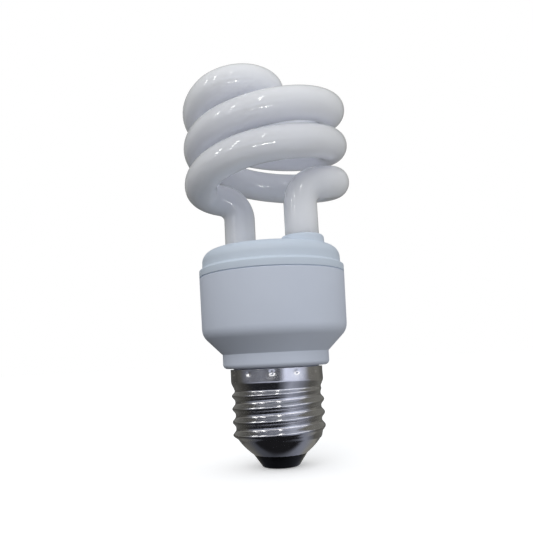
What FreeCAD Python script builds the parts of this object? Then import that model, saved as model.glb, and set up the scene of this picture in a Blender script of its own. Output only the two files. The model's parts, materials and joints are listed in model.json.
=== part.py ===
import FreeCAD, Part
import Sketcher
import math
import os

# A compact fluorescent lamp with an E27 cap: a white glass double spiral on a plastic ballast housing.
# +Z runs from the centre contact up to the crown of the spiral, and the origin is on the contact's face.
# The two straight legs of the tube stand on the X axis.

doc = FreeCAD.newDocument("spiral_lamp")
sheet = doc.addObject("Spreadsheet::Sheet", "dims")

# Driving sizes in millimetres and degrees, each named once.
SIZES = [
    # spiral tube
    ("tube_dia", "9.6"), ("coil_radius", "19.9"), ("coil_pitch", "22.4"), ("coil_start_deg", "42.2"),
    ("coil_sweep_deg", "400.3"), ("coil_rise", "17"), ("bend_rise", "5.43"), ("crown_rise", "2.5"),
    ("crown_turn_deg", "98.2"), ("leg_clear", "0.3"), ("leg_depth", "5.65"),
    # cap
    ("insulator_h", "3.7"), ("cap_cone_h", "4.8"), ("thread_h", "13.2"), ("skirt_step_h", "0.8"),
    ("skirt_h", "5.2"), ("rim_radius", "7.6"), ("thread_root_radius", "12.25"),
    ("thread_depth", "0.92"), ("thread_pitch", "3.629"), ("thread_phase_deg", "222"),
    ("skirt_radius", "13.25"), ("shell_wall", "0.35"), ("contact_radius", "3.6"), ("contact_h", "0.6"),
    ("contact_stand", "0.15"), ("stem_radius", "1"), ("stem_h", "4.4"),
    ("insulator_foot_radius", "5.1"), ("insulator_foot_round", "0.9"), ("insulator_seat_h", "3.4"),
    ("stem_gap", "0.05"), ("contact_bevel", "0.4"), ("ridge_round", "1.3"), ("ridge_start", "0.6"),
    ("ridge_stop", "0.7"),
    # ballast housing
    ("collar_out", "2.45"), ("collar_h", "4"), ("collar_round", "1.3"), ("body_radius", "20.95"),
    ("body_h", "22.3"), ("body_draft", "0.3"), ("shoulder_round", "4.6"), ("body_wall", "1.35"),
    ("neck_wall", "1.2"), ("neck_depth", "4.6"), ("neck_gap", "0.05"), ("ledge_width", "1.3"),
    ("ledge_depth", "8.9"), ("seam_chamfer", "0.35"),
    # cover
    ("rim_h", "2.1"), ("ledge_in", "0.95"), ("ledge_h", "0.6"), ("dome_h", "5.15"),
    ("dome_round", "3.4"), ("cover_wall", "1.5"), ("spigot_gap", "0.1"), ("spigot_wall", "1.2"),
    ("bead_h", "1.2"), ("bead_out", "0.35"), ("bead_below", "2.2"), ("bead_gap", "0.1"),
    ("leg_gap", "0.25"), ("boss_wall", "1"), ("boss_h", "2.1"), ("boss_round", "0.9"),
    ("cement_wall", "0.7"), ("cement_h", "2.2"),
    # ballast board and what it carries
    ("layout_radius", "19.3"), ("board_t", "1.6"), ("board_gap", "0.3"), ("pin_size", "0.8"),
    ("pin_h", "4.5"), ("pin_offset", "2.4"), ("lead_radius", "0.3"), ("wire_radius", "0.45"),
    ("wire_bend", "2.5"), ("wire_offset", "8"), ("wire_drop", "4"), ("tail_below", "3.6"),
    ("choke_x", "7"), ("choke_w", "11"), ("choke_d", "6"), ("choke_h", "9.5"), ("choke_post", "3"),
    ("choke_yoke", "1.6"), ("choke_side", "1.5"), ("winding_gap", "0.15"), ("winding_over", "2.3"),
    ("can_x", "-5.2"), ("can_radius", "5"), ("can_h", "17"), ("can_round", "0.6"), ("film_x", "2"),
    ("film_y", "11.5"), ("film_w", "9"), ("film_d", "4"), ("film_h", "8"), ("block_x", "-8.8"),
    ("block_y", "-10.4"), ("block_w", "5.5"), ("block_d", "3"), ("block_h", "6"), ("toroid_x", "-8.6"),
    ("toroid_y", "10"), ("toroid_radius", "4"), ("toroid_bore", "2.2"), ("toroid_h", "2.6"),
    ("toroid_wire", "0.35"), ("toroid_span_deg", "50"), ("transistor_y", "-13.2"),
    ("transistor_offset", "3.2"), ("transistor_w", "4.6"), ("transistor_d", "3.6"),
    ("transistor_h", "5"), ("diode_x", "7"), ("diode_y", "8.4"), ("diode_step", "3.2"),
    ("diode_radius", "1.3"), ("diode_l", "5"), ("resistor_x", "-14.4"), ("resistor_y", "1"),
    ("resistor_radius", "1"), ("resistor_l", "3.4"), ("resistor_step", "2.4"), ("fuse_x", "-16"),
    ("fuse_y", "-6"), ("fuse_radius", "1.2"), ("fuse_l", "5.5"), ("diac_x", "3"), ("diac_y", "7.2"),
    ("diac_radius", "0.9"), ("diac_l", "3.5"),
]

# Sizes that follow from them.
FOLLOWS = [
    ("tube_r", "=tube_dia / 2"), ("rim_z", "=insulator_h"), ("cone_z", "=rim_z + cap_cone_h"),
    ("step_z", "=cone_z + thread_h"), ("skirt_z", "=step_z + skirt_step_h"),
    ("collar_z", "=skirt_z + skirt_h"), ("waist_z", "=collar_z + collar_h"),
    ("skirt_in_radius", "=skirt_radius - shell_wall"), ("neck_radius", "=skirt_in_radius - neck_gap"),
    ("collar_radius", "=neck_radius + collar_out"),
    ("shoulder_z", "=waist_z + body_radius - collar_radius"), ("seam_z", "=waist_z + body_h"),
    ("rim_top_z", "=seam_z + rim_h"), ("dome_z", "=rim_top_z + ledge_h"),
    ("cover_top_z", "=dome_z + dome_h"), ("boss_top_z", "=cover_top_z + boss_h"),
    ("leg_foot_z", "=cover_top_z - leg_depth"), ("cover_under_z", "=cover_top_z - cover_wall"),
    ("cement_z", "=cover_under_z - cement_h"), ("coil_z", "=cover_top_z + coil_rise"),
    ("bend_z", "=coil_z - bend_rise"),
    ("cone_slope", "=(thread_root_radius - rim_radius) / cap_cone_h"),
    ("cone_secant", "=sqrt(1 + cone_slope * cone_slope)"),
    ("rim_in_radius", "=rim_radius - shell_wall / cone_secant"),
    ("rim_in_z", "=rim_z + shell_wall * cone_slope / cone_secant"),
    ("root_in_radius", "=thread_root_radius - shell_wall"),
    ("cone_in_z", "=rim_in_z + (root_in_radius - rim_in_radius) / cone_slope"),
    ("step_in_z", "=step_z + shell_wall"), ("skirt_in_z", "=skirt_z + shell_wall"),
    ("seat_z", "=rim_in_z + insulator_seat_h"),
    ("seat_radius", "=rim_in_radius + insulator_seat_h * cone_slope"),
    ("contact_flat_radius", "=contact_radius - contact_bevel"), ("contact_edge_z", "=contact_h / 2"),
    ("crest_radius", "=thread_root_radius + thread_depth"),
    ("ridge_centre_radius", "=crest_radius - ridge_round"),
    ("ridge_base_radius", "=thread_root_radius - shell_wall / 2"),
    ("ridge_z", "=cone_z + ridge_start"), ("ridge_h", "=thread_h - ridge_start - ridge_stop"),
    ("recess_radius", "=contact_radius + stem_gap"), ("hole_radius", "=stem_radius + stem_gap"),
    ("stem_z", "=contact_h + stem_h"), ("neck_in_radius", "=neck_radius - neck_wall"),
    ("neck_z", "=collar_z - neck_depth"), ("top_radius", "=body_radius + body_draft"),
    ("body_in_radius", "=body_radius - body_wall"), ("ledge_radius", "=body_in_radius - ledge_width"),
    ("ledge_z", "=seam_z - ledge_depth"), ("board_z", "=ledge_z"),
    ("board_top_z", "=board_z + board_t"), ("board_radius", "=body_in_radius - board_gap"),
    ("layout", "=board_radius / layout_radius"),
    ("shoulder_in_z", "=shoulder_z - body_radius + ledge_radius + body_wall * sqrt(2)"),
    ("waist_in_z", "=shoulder_in_z - (ledge_radius - neck_in_radius)"),
    ("seam_in_radius", "=top_radius - seam_chamfer"), ("seam_low_z", "=seam_z - seam_chamfer"),
    ("seam_high_z", "=seam_z + seam_chamfer"), ("dome_radius", "=top_radius - ledge_in"),
    ("spigot_radius", "=body_in_radius - spigot_gap"),
    ("spigot_in_radius", "=spigot_radius - spigot_wall"), ("bead_z", "=seam_z - bead_below"),
    ("bead_low_z", "=bead_z - bead_h"), ("bead_mid_z", "=bead_z - bead_h / 2"),
    ("bead_radius", "=spigot_radius + bead_out"), ("groove_z", "=bead_z + bead_gap"),
    ("groove_low_z", "=bead_low_z - bead_gap"), ("groove_radius", "=bead_radius + bead_gap"),
    ("leg_hole_radius", "=tube_r + leg_gap"), ("boss_radius", "=leg_hole_radius + boss_wall"),
    ("cement_radius", "=tube_r + cement_wall"),
    ("leg_offset", "=spigot_in_radius - cement_radius - leg_clear"),
    ("pin_top_z", "=board_top_z + pin_h"), ("lead_h", "=leg_foot_z - pin_top_z"),
    ("boss_rise", "=boss_top_z - cover_under_z"), ("tail_z", "=neck_z - tail_below"),
    ("wire_in_z", "=seat_z + wire_drop"), ("wire_out_z", "=wire_in_z + wire_offset * layout"),
    ("tail_y", "=sqrt(root_in_radius * root_in_radius - wire_radius * wire_radius)"),
]

# Places and widths on the board, which spread with the board.
BOARD_SIZES = ["choke_x", "choke_w", "choke_d", "choke_post", "choke_side", "can_x", "can_radius",
               "film_x", "film_y", "film_w", "film_d", "block_x", "block_y", "block_w", "block_d",
               "toroid_x", "toroid_y", "toroid_radius", "toroid_bore", "transistor_y",
               "transistor_offset", "transistor_w", "transistor_d", "diode_x", "diode_y",
               "diode_step", "diode_radius", "diode_l", "resistor_x", "resistor_y", "resistor_radius",
               "resistor_l", "resistor_step", "fuse_x", "fuse_y", "fuse_radius", "fuse_l", "diac_x",
               "diac_y", "diac_radius", "diac_l", "wire_offset"]
FOLLOWS += [(name + "_laid", "=%s * layout" % name) for name in BOARD_SIZES]

for row, (alias, text) in enumerate(SIZES + FOLLOWS, 1):
    sheet.set("A%d" % row, alias)
    sheet.set("B%d" % row, text)
    sheet.setAlias("B%d" % row, alias)
doc.recompute()


def num(name):
    """The value of a size, or zero for a point on an axis."""
    return 0.0 if name == 0 else float(getattr(sheet, name))


def plane_of(body, role):
    for feature in body.Origin.OriginFeatures:
        if feature.Role == role:
            return feature


def hold(sketch, constraint, size):
    """Adds a constraint and ties its value to a named size."""
    held = sketch.addConstraint(constraint)
    sketch.setExpression("Constraints[%d]" % held, "dims." + size)


def profile(body, role, points):
    """A closed sketch on one of the body's planes, with each corner held by two named sizes."""
    sketch = body.newObject("Sketcher::SketchObject", "profile")
    sketch.AttachmentSupport = (plane_of(body, role), [""])
    sketch.MapMode = "FlatFace"
    spots = [FreeCAD.Vector(num(x), num(y), 0) for x, y in points]
    count = len(spots)
    for i in range(count):
        sketch.addGeometry(Part.LineSegment(spots[i], spots[(i + 1) % count]), False)
    for i in range(count):
        sketch.addConstraint(Sketcher.Constraint("Coincident", i, 2, (i + 1) % count, 1))
    for i, (x, y) in enumerate(points):
        for kind, size, axis in (("DistanceX", x, -2), ("DistanceY", y, -1)):
            if size == 0:
                sketch.addConstraint(Sketcher.Constraint("PointOnObject", i, 1, axis))
                continue
            hold(sketch, Sketcher.Constraint(kind, -1, 1, i, 1, num(size)), size)
    return sketch


def turned(label, points):
    """A body turned round the Z axis from a profile of radius and height."""
    body = doc.addObject("PartDesign::Body", label)
    body.Label = label
    sketch = profile(body, "XZ_Plane", points)
    turn = body.newObject("PartDesign::Revolution", "turn")
    turn.Profile = sketch
    turn.ReferenceAxis = (sketch, ["V_Axis"])
    turn.Angle = 360
    sketch.Visibility = False
    doc.recompute()
    return body


def ring_edges(shape, radius, height):
    """Names of the circular edges at a given radius and height."""
    found = []
    for i, edge in enumerate(shape.Edges, 1):
        if edge.Curve.TypeId != "Part::GeomCircle":
            continue
        wider = abs(edge.Curve.Radius - num(radius))
        higher = abs(edge.Curve.Center.z - num(height))
        if max(wider, higher) < 1e-4:
            found.append("Edge%d" % i)
    return found


def rounded(body, radius, height, size):
    """Rounds the circular edges at the given radius and height."""
    before = body.Tip
    ease = body.newObject("PartDesign::Fillet", "ease")
    ease.Base = (before, ring_edges(before.Shape, radius, height))
    ease.setExpression("Radius", "dims." + size)
    doc.recompute()


def at(piece, x, y, z):
    """Ties a piece's place to expressions of the sizes."""
    for axis, text in (("x", x), ("y", y), ("z", z)):
        piece.setExpression("Placement.Base." + axis, text)
    return piece


def box(label, w, d, h):
    piece = doc.addObject("Part::Box", label)
    piece.Label = label
    piece.setExpression("Length", w)
    piece.setExpression("Width", d)
    piece.setExpression("Height", h)
    return piece


def rod(label, radius, length):
    piece = doc.addObject("Part::Cylinder", label)
    piece.Label = label
    piece.setExpression("Radius", radius)
    piece.setExpression("Height", length)
    return piece


def lying(piece):
    """Lays a rod along X."""
    piece.Placement.Rotation = FreeCAD.Rotation(FreeCAD.Vector(0, 1, 0), 90)
    return piece


def cut(label, base, tool):
    piece = doc.addObject("Part::Cut", label)
    piece.Label = label
    piece.Base = base
    piece.Tool = tool
    return piece


def group(label, pieces):
    piece = doc.addObject("Part::Compound", label)
    piece.Label = label
    piece.Links = pieces
    return piece


# Discharge tube: a straight leg, two tangent arcs, a helix and two more arcs to the crown's
# middle, then the same again turned half round. A circle is swept along the whole path.
def arc(start, tangent, end):
    """The arc that leaves start along tangent and ends at end."""
    chord = end - start
    side = chord - tangent * chord.dot(tangent)
    side.normalize()
    radius = chord.Length ** 2 / (2 * chord.dot(side))
    centre = start + side * radius
    middle = (start - centre) + (end - centre)
    middle.normalize()
    return Part.Arc(start, centre + middle * radius, end).toShape()


def arc_pair(start, leave, end, arrive):
    """Two arcs with a common tangent that join two points and their directions."""
    chord = end - start
    spread = 1 - leave.dot(arrive)
    along = chord.dot(leave + arrive)
    reach = (math.sqrt(along ** 2 + 2 * spread * chord.dot(chord)) - along) / (2 * spread)
    joint = (start + end + (leave - arrive) * reach) * 0.5
    return [arc(start, leave, joint), arc(end, arrive * -1, joint)]


turns = num("coil_sweep_deg") / 360
coil = Part.makeHelix(num("coil_pitch"), num("coil_pitch") * turns, num("coil_radius"))
coil.rotate(FreeCAD.Vector(0, 0, 0), FreeCAD.Vector(0, 0, 1), num("coil_start_deg"))
coil.translate(FreeCAD.Vector(0, 0, num("coil_z") + num("coil_pitch") * num("coil_start_deg") / 360))


def on_coil(degrees):
    """The point and direction of the helix at an angle from the leg."""
    angle = math.radians(degrees)
    radius = num("coil_radius")
    point = FreeCAD.Vector(radius * math.cos(angle), radius * math.sin(angle),
                           num("coil_z") + num("coil_pitch") * degrees / 360)
    way = FreeCAD.Vector(-radius * math.sin(angle), radius * math.cos(angle),
                         num("coil_pitch") / (2 * math.pi))
    way.normalize()
    return point, way


foot = FreeCAD.Vector(num("leg_offset"), 0, num("leg_foot_z"))
knee = FreeCAD.Vector(num("leg_offset"), 0, num("bend_z"))
start, start_way = on_coil(num("coil_start_deg"))
last_deg = num("coil_start_deg") + num("coil_sweep_deg")
finish, finish_way = on_coil(last_deg)
crown = FreeCAD.Vector(0, 0, finish.z + num("crown_rise"))
crown_deg = math.radians(last_deg - num("crown_turn_deg"))
crown_way = FreeCAD.Vector(math.cos(crown_deg), math.sin(crown_deg), 0)
half = [Part.LineSegment(foot, knee).toShape()]
half += arc_pair(knee, FreeCAD.Vector(0, 0, 1), start, start_way)
half += coil.Edges
half += arc_pair(finish, finish_way, crown, crown_way)
other = []
for edge in half:
    turned_edge = edge.copy()
    turned_edge.rotate(FreeCAD.Vector(0, 0, 0), FreeCAD.Vector(0, 0, 1), 180)
    other.append(turned_edge)
path = doc.addObject("Part::Feature", "tube_path")
path.Shape = Part.Wire(Part.__sortEdges__(half + other))
section = doc.addObject("Part::Circle", "tube_section")
section.setExpression("Radius", "dims.tube_r")
at(section, "dims.leg_offset", "0", "dims.leg_foot_z")
tube = doc.addObject("Part::Sweep", "discharge_tube")
tube.Label = "discharge_tube"
tube.Sections = [section]
tube.Spine = (path, ["Edge%d" % (i + 1) for i in range(len(path.Shape.Edges))])
tube.Solid = True
tube.Frenet = False
doc.recompute()

# Tube cover: a turned lid with a rim, a rounded top and a skirt that snaps into the housing and clamps
# the board. Each leg comes through a hole with a raised collar.
cover = turned("tube_cover", [
    ("spigot_in_radius", "board_top_z"), ("spigot_radius", "board_top_z"),
    ("spigot_radius", "bead_low_z"), ("bead_radius", "bead_mid_z"), ("spigot_radius", "bead_z"),
    ("spigot_radius", "seam_z"),
    ("seam_in_radius", "seam_z"), ("top_radius", "seam_high_z"), ("top_radius", "rim_top_z"),
    ("dome_radius", "dome_z"), ("dome_radius", "cover_top_z"), (0, "cover_top_z"), (0, "cover_under_z"),
    ("spigot_in_radius", "cover_under_z")])
rounded(cover, "dome_radius", "cover_top_z", "dome_round")


def leg_circles(body, radius, height):
    """A sketch with one circle round each leg, at a given height."""
    sketch = body.newObject("Sketcher::SketchObject", "legs")
    sketch.AttachmentSupport = (plane_of(body, "XY_Plane"), [""])
    sketch.MapMode = "FlatFace"
    sketch.setExpression("AttachmentOffset.Base.z", "dims." + height)
    for i, side in enumerate((1, -1)):
        centre = FreeCAD.Vector(side * num("leg_offset"), 0, 0)
        sketch.addGeometry(Part.Circle(centre, FreeCAD.Vector(0, 0, 1), num(radius)), False)
        sketch.addConstraint(Sketcher.Constraint("PointOnObject", i, 3, -1))
        hold(sketch, Sketcher.Constraint("DistanceX", -1, 1, i, 3, side * num("leg_offset")),
             "leg_offset * %d" % side)
        hold(sketch, Sketcher.Constraint("Radius", i, num(radius)), radius)
    sketch.Visibility = False
    return sketch


boss = cover.newObject("PartDesign::Pad", "leg_collars")
boss.Profile = leg_circles(cover, "boss_radius", "cover_under_z")
boss.setExpression("Length", "dims.boss_rise")
doc.recompute()
rounded(cover, "boss_radius", "boss_top_z", "boss_round")
holes = cover.newObject("PartDesign::Pocket", "leg_holes")
holes.Profile = leg_circles(cover, "leg_hole_radius", "boss_top_z")
holes.setExpression("Length", "dims.boss_rise")
doc.recompute()

# Ballast housing: a turned shell from the neck inside the cap to the seam, with a ledge for the board
# and a groove for the cover's bead.
housing = turned("ballast_housing", [
    ("neck_in_radius", "neck_z"), ("neck_radius", "neck_z"), ("neck_radius", "collar_z"),
    ("collar_radius", "collar_z"), ("collar_radius", "waist_z"), ("body_radius", "shoulder_z"),
    ("top_radius", "seam_low_z"), ("seam_in_radius", "seam_z"), ("body_in_radius", "seam_z"),
    ("body_in_radius", "groove_z"), ("groove_radius", "bead_mid_z"), ("body_in_radius", "groove_low_z"),
    ("body_in_radius", "ledge_z"), ("ledge_radius", "ledge_z"), ("ledge_radius", "shoulder_in_z"),
    ("neck_in_radius", "waist_in_z")])
rounded(housing, "body_radius", "shoulder_z", "shoulder_round")
rounded(housing, "collar_radius", "collar_z", "collar_round")

# Screw shell: thin plated sheet with a cone, a plain skirt and a right-hand ridge for the rolled thread.
shell = turned("screw_shell", [
    ("rim_radius", "rim_z"), ("thread_root_radius", "cone_z"), ("thread_root_radius", "step_z"),
    ("skirt_radius", "skirt_z"), ("skirt_radius", "collar_z"), ("skirt_in_radius", "collar_z"),
    ("skirt_in_radius", "skirt_in_z"), ("root_in_radius", "step_in_z"), ("root_in_radius", "cone_in_z"),
    ("rim_in_radius", "rim_in_z")])
ridge = shell.newObject("Sketcher::SketchObject", "ridge")
ridge.AttachmentSupport = (plane_of(shell, "XZ_Plane"), [""])
ridge.MapMode = "FlatFace"
reach = math.acos((num("ridge_base_radius") - num("ridge_centre_radius")) / num("ridge_round"))
bulge = Part.Circle(FreeCAD.Vector(num("ridge_centre_radius"), num("ridge_z"), 0),
                    FreeCAD.Vector(0, 0, 1), num("ridge_round"))
ridge.addGeometry(Part.ArcOfCircle(bulge, -reach, reach), False)
half_height = num("ridge_round") * math.sin(reach)
ridge.addGeometry(Part.LineSegment(
    FreeCAD.Vector(num("ridge_base_radius"), num("ridge_z") + half_height, 0),
    FreeCAD.Vector(num("ridge_base_radius"), num("ridge_z") - half_height, 0)), False)
ridge.addConstraint(Sketcher.Constraint("Coincident", 0, 2, 1, 1))
ridge.addConstraint(Sketcher.Constraint("Coincident", 0, 1, 1, 2))
ridge.addConstraint(Sketcher.Constraint("Vertical", 1))
hold(ridge, Sketcher.Constraint("DistanceX", -1, 1, 0, 3, num("ridge_centre_radius")),
     "ridge_centre_radius")
hold(ridge, Sketcher.Constraint("DistanceY", -1, 1, 0, 3, num("ridge_z")), "ridge_z")
hold(ridge, Sketcher.Constraint("DistanceX", -1, 1, 1, 1, num("ridge_base_radius")), "ridge_base_radius")
hold(ridge, Sketcher.Constraint("Radius", 0, num("ridge_round")), "ridge_round")
ridge.Visibility = False
thread = shell.newObject("PartDesign::AdditiveHelix", "rolled_thread")
thread.Profile = ridge
thread.ReferenceAxis = (ridge, ["V_Axis"])
thread.Mode = 0
thread.setExpression("Pitch", "dims.thread_pitch")
thread.setExpression("Height", "dims.ridge_h")
doc.recompute()
shell.Placement.Rotation = FreeCAD.Rotation(FreeCAD.Vector(0, 0, 1), num("thread_phase_deg"))

# Cap insulator: a black cone under the shell, rounded at its foot, with a plug inside the shell's cone.
insulator = turned("cap_insulator", [
    ("recess_radius", "contact_stand"), ("insulator_foot_radius", "contact_stand"),
    ("rim_radius", "rim_z"), ("rim_in_radius", "rim_in_z"), ("seat_radius", "seat_z"),
    ("hole_radius", "seat_z"), ("hole_radius", "contact_h"), ("recess_radius", "contact_h")])
rounded(insulator, "insulator_foot_radius", "contact_stand", "insulator_foot_round")

# Centre contact: a bevelled button with a stem in the insulator's hole.
turned("centre_contact", [
    (0, 0), ("contact_flat_radius", 0), ("contact_radius", "contact_edge_z"),
    ("contact_radius", "contact_h"), ("stem_radius", "contact_h"), ("stem_radius", "stem_z"),
    (0, "stem_z")])

# Ballast board, clamped between the housing's ledge and the cover's skirt.
at(rod("ballast_board", "dims.board_radius", "dims.board_t"), "0", "0", "dims.board_z")

# Choke: a core with two windows round a middle post, and the winding on the post.
core_block = at(box("core_block", "dims.choke_w_laid", "dims.choke_d_laid", "dims.choke_h"),
                "dims.choke_x_laid - dims.choke_w_laid / 2", "-dims.choke_d_laid / 2",
                "dims.board_z - dims.choke_h")
window = "(dims.choke_w_laid - dims.choke_post_laid) / 2 - dims.choke_side_laid"
windows = []
for side, x in (("left", "dims.choke_x_laid - dims.choke_w_laid / 2 + dims.choke_side_laid"),
                ("right", "dims.choke_x_laid + dims.choke_post_laid / 2")):
    opening = box("core_window_" + side, window, "dims.choke_d_laid",
                  "dims.choke_h - 2 * dims.choke_yoke")
    windows.append(at(opening, x, "-dims.choke_d_laid / 2",
                      "dims.board_z - dims.choke_h + dims.choke_yoke"))
cut("choke_core", core_block, group("core_windows", windows))
coil_block = at(box("coil_block", "dims.choke_post_laid + 2 * (%s - dims.winding_gap)" % window,
                    "dims.choke_d_laid + 2 * dims.winding_over",
                    "dims.choke_h - 2 * dims.choke_yoke - 2 * dims.winding_gap"),
                "dims.choke_x_laid - dims.choke_post_laid / 2 - (%s - dims.winding_gap)" % window,
                "-dims.choke_d_laid / 2 - dims.winding_over",
                "dims.board_z - dims.choke_h + dims.choke_yoke + dims.winding_gap")
post = at(box("coil_post", "dims.choke_post_laid", "dims.choke_d_laid", "dims.choke_h"),
          "dims.choke_x_laid - dims.choke_post_laid / 2", "-dims.choke_d_laid / 2",
          "dims.board_z - dims.choke_h")
cut("choke_winding", coil_block, post)

# Bulk capacitor: a can with a rounded end that hangs into the neck.
can = at(rod("can_body", "dims.can_radius_laid", "dims.can_h"), "dims.can_x_laid", "0",
         "dims.board_z - dims.can_h")
doc.recompute()
rounded_can = doc.addObject("Part::Fillet", "bulk_capacitor")
rounded_can.Label = "bulk_capacitor"
rounded_can.Base = can
low_ring = [i for i, edge in enumerate(can.Shape.Edges, 1)
            if edge.Curve.TypeId == "Part::GeomCircle" and edge.Curve.Center.z < num("board_z") - 1]
rounded_can.Edges = [(i, num("can_round"), num("can_round")) for i in low_ring]

# Film capacitors.
at(box("resonant_capacitor", "dims.film_w_laid", "dims.film_d_laid", "dims.film_h"),
   "dims.film_x_laid - dims.film_w_laid / 2", "dims.film_y_laid - dims.film_d_laid / 2",
   "dims.board_z - dims.film_h")
at(box("blocking_capacitor", "dims.block_w_laid", "dims.block_d_laid", "dims.block_h"),
   "dims.block_x_laid - dims.block_w_laid / 2", "dims.block_y_laid - dims.block_d_laid / 2",
   "dims.board_z - dims.block_h")

# Drive toroid, a wire's thickness below the board, and its three windings.
ring_z = "dims.board_z - dims.toroid_wire - dims.toroid_h"
ring_out = rod("ring_out", "dims.toroid_radius_laid", "dims.toroid_h")
ring_in = rod("ring_in", "dims.toroid_bore_laid", "dims.toroid_h")
for piece in (ring_out, ring_in):
    at(piece, "dims.toroid_x_laid", "dims.toroid_y_laid", ring_z)
ring = cut("drive_toroid", ring_out, ring_in)
wrap_h = "dims.toroid_h + 2 * dims.toroid_wire"
windings = []
for i in range(3):
    wrap_out = rod("wrap_out_%d" % i, "dims.toroid_radius_laid + dims.toroid_wire", wrap_h)
    wrap_out.setExpression("Angle", "dims.toroid_span_deg")
    wrap_out.Placement.Rotation = FreeCAD.Rotation(FreeCAD.Vector(0, 0, 1), 120 * i)
    wrap_in = rod("wrap_in_%d" % i, "dims.toroid_bore_laid - dims.toroid_wire", wrap_h)
    for piece in (wrap_out, wrap_in):
        at(piece, "dims.toroid_x_laid", "dims.toroid_y_laid", ring_z + " - dims.toroid_wire")
    windings.append(cut("wrap_%d" % i, cut("wrap_band_%d" % i, wrap_out, wrap_in), ring))
group("toroid_windings", windings)

# Transistors, diodes, resistors, the fuse and the diac, all on the board's lower side.
group("power_transistors", [
    at(box("transistor_%d" % i, "dims.transistor_w_laid", "dims.transistor_d_laid", "dims.transistor_h"),
       "%d * dims.transistor_offset_laid - dims.transistor_w_laid / 2" % side,
       "dims.transistor_y_laid - dims.transistor_d_laid / 2", "dims.board_z - dims.transistor_h")
    for i, side in enumerate((1, -1))])
group("rectifier_diodes", [
    at(lying(rod("diode_%d" % i, "dims.diode_radius_laid", "dims.diode_l_laid")), "dims.diode_x_laid",
       "%d * (dims.diode_y_laid + %d * dims.diode_step_laid)" % (side, row),
       "dims.board_z - dims.diode_radius_laid")
    for i, (side, row) in enumerate(((1, 0), (1, 1), (-1, 0), (-1, 1)))])
group("base_resistors", [
    at(lying(rod("resistor_%d" % i, "dims.resistor_radius_laid", "dims.resistor_l_laid")),
       "dims.resistor_x_laid", "dims.resistor_y_laid + %d * dims.resistor_step_laid" % i,
       "dims.board_z - dims.resistor_radius_laid")
    for i in range(2)])
at(lying(rod("fuse_resistor", "dims.fuse_radius_laid", "dims.fuse_l_laid")), "dims.fuse_x_laid",
   "dims.fuse_y_laid", "dims.board_z - dims.fuse_radius_laid")
at(lying(rod("trigger_diac", "dims.diac_radius_laid", "dims.diac_l_laid")), "dims.diac_x_laid",
   "dims.diac_y_laid", "dims.board_z - dims.diac_radius_laid")

# Wrap pins on the board, the tube's wires that end on them, and the cement that holds the legs.
corners = [(1, 1), (1, -1), (-1, 1), (-1, -1)]
group("wrap_pins", [
    at(box("pin_%d" % i, "dims.pin_size", "dims.pin_size", "dims.pin_h"),
       "%d * dims.leg_offset - dims.pin_size / 2" % a, "%d * dims.pin_offset - dims.pin_size / 2" % b,
       "dims.board_top_z") for i, (a, b) in enumerate(corners)])
group("tube_leads", [
    at(rod("lead_%d" % i, "dims.lead_radius", "dims.lead_h"), "%d * dims.leg_offset" % a,
       "%d * dims.pin_offset" % b, "dims.pin_top_z") for i, (a, b) in enumerate(corners)])
cement = []
for i, side in enumerate((1, -1)):
    full = rod("cement_full_%d" % i, "dims.cement_radius", "dims.cement_h")
    bore = rod("cement_bore_%d" % i, "dims.tube_r", "dims.cement_h")
    for piece in (full, bore):
        at(piece, "%d * dims.leg_offset" % side, "0", "dims.cement_z")
    cement.append(cut("cement_%d" % i, full, bore))
group("tube_cement", cement)


# Supply wires: straight runs joined by tangent arcs.
def wire(label, points):
    """A round wire along points, bent at each inner point."""
    bend = num("wire_bend")
    edges = []
    here = points[0]
    for before, corner, after in zip(points, points[1:], points[2:]):
        come = corner - before
        come.normalize()
        leave = after - corner
        leave.normalize()
        trim = bend * math.tan(come.getAngle(leave) / 2)
        enter = corner - come * trim
        edges.append(Part.LineSegment(here, enter).toShape())
        here = corner + leave * trim
        edges.append(arc(enter, come, here))
    edges.append(Part.LineSegment(here, points[-1]).toShape())
    run = doc.addObject("Part::Feature", label + "_path")
    run.Shape = Part.Wire(edges)
    end = doc.addObject("Part::Circle", label + "_section")
    end.setExpression("Radius", "dims.wire_radius")
    end.Placement.Base = points[0]
    piece = doc.addObject("Part::Sweep", label)
    piece.Label = label
    piece.Sections = [end]
    piece.Spine = (run, ["Edge%d" % (i + 1) for i in range(len(edges))])
    piece.Solid = True
    return piece


wire("line_wire", [FreeCAD.Vector(0, num("wire_offset_laid"), num("board_z")),
                   FreeCAD.Vector(0, num("wire_offset_laid"), num("wire_out_z")),
                   FreeCAD.Vector(0, 0, num("wire_in_z")), FreeCAD.Vector(0, 0, num("stem_z"))])
wire("neutral_wire", [FreeCAD.Vector(0, -num("wire_offset_laid"), num("board_z")),
                      FreeCAD.Vector(0, -num("wire_offset_laid"), num("tail_z")),
                      FreeCAD.Vector(0, -num("tail_y"), num("tail_z"))])

doc.recompute()
NODES = ["discharge_tube", "tube_cover", "ballast_housing", "screw_shell", "cap_insulator",
         "centre_contact", "ballast_board", "choke_core", "choke_winding", "bulk_capacitor",
         "resonant_capacitor", "blocking_capacitor", "drive_toroid", "toroid_windings",
         "power_transistors", "rectifier_diodes", "base_resistors", "fuse_resistor", "trigger_diac",
         "wrap_pins", "tube_leads", "tube_cement", "line_wire", "neutral_wire"]
for item in doc.Objects:
    if "Invalid" in item.State or "Error" in item.State:
        raise RuntimeError("%s did not compute" % item.Label)
os.makedirs("parts", exist_ok=True)
for name in NODES:
    shape = doc.getObjectsByLabel(name)[0].Shape
    if shape.isNull() or not shape.isValid():
        raise RuntimeError("%s has no valid shape" % name)
    shape.exportStep("parts/%s.step" % name)
    print("%-20s %2d solids %9.2f mm3" % (name, len(shape.Solids), shape.Volume))
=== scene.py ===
import json
import math

import bmesh
import bpy
from mathutils import Matrix, Vector


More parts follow.
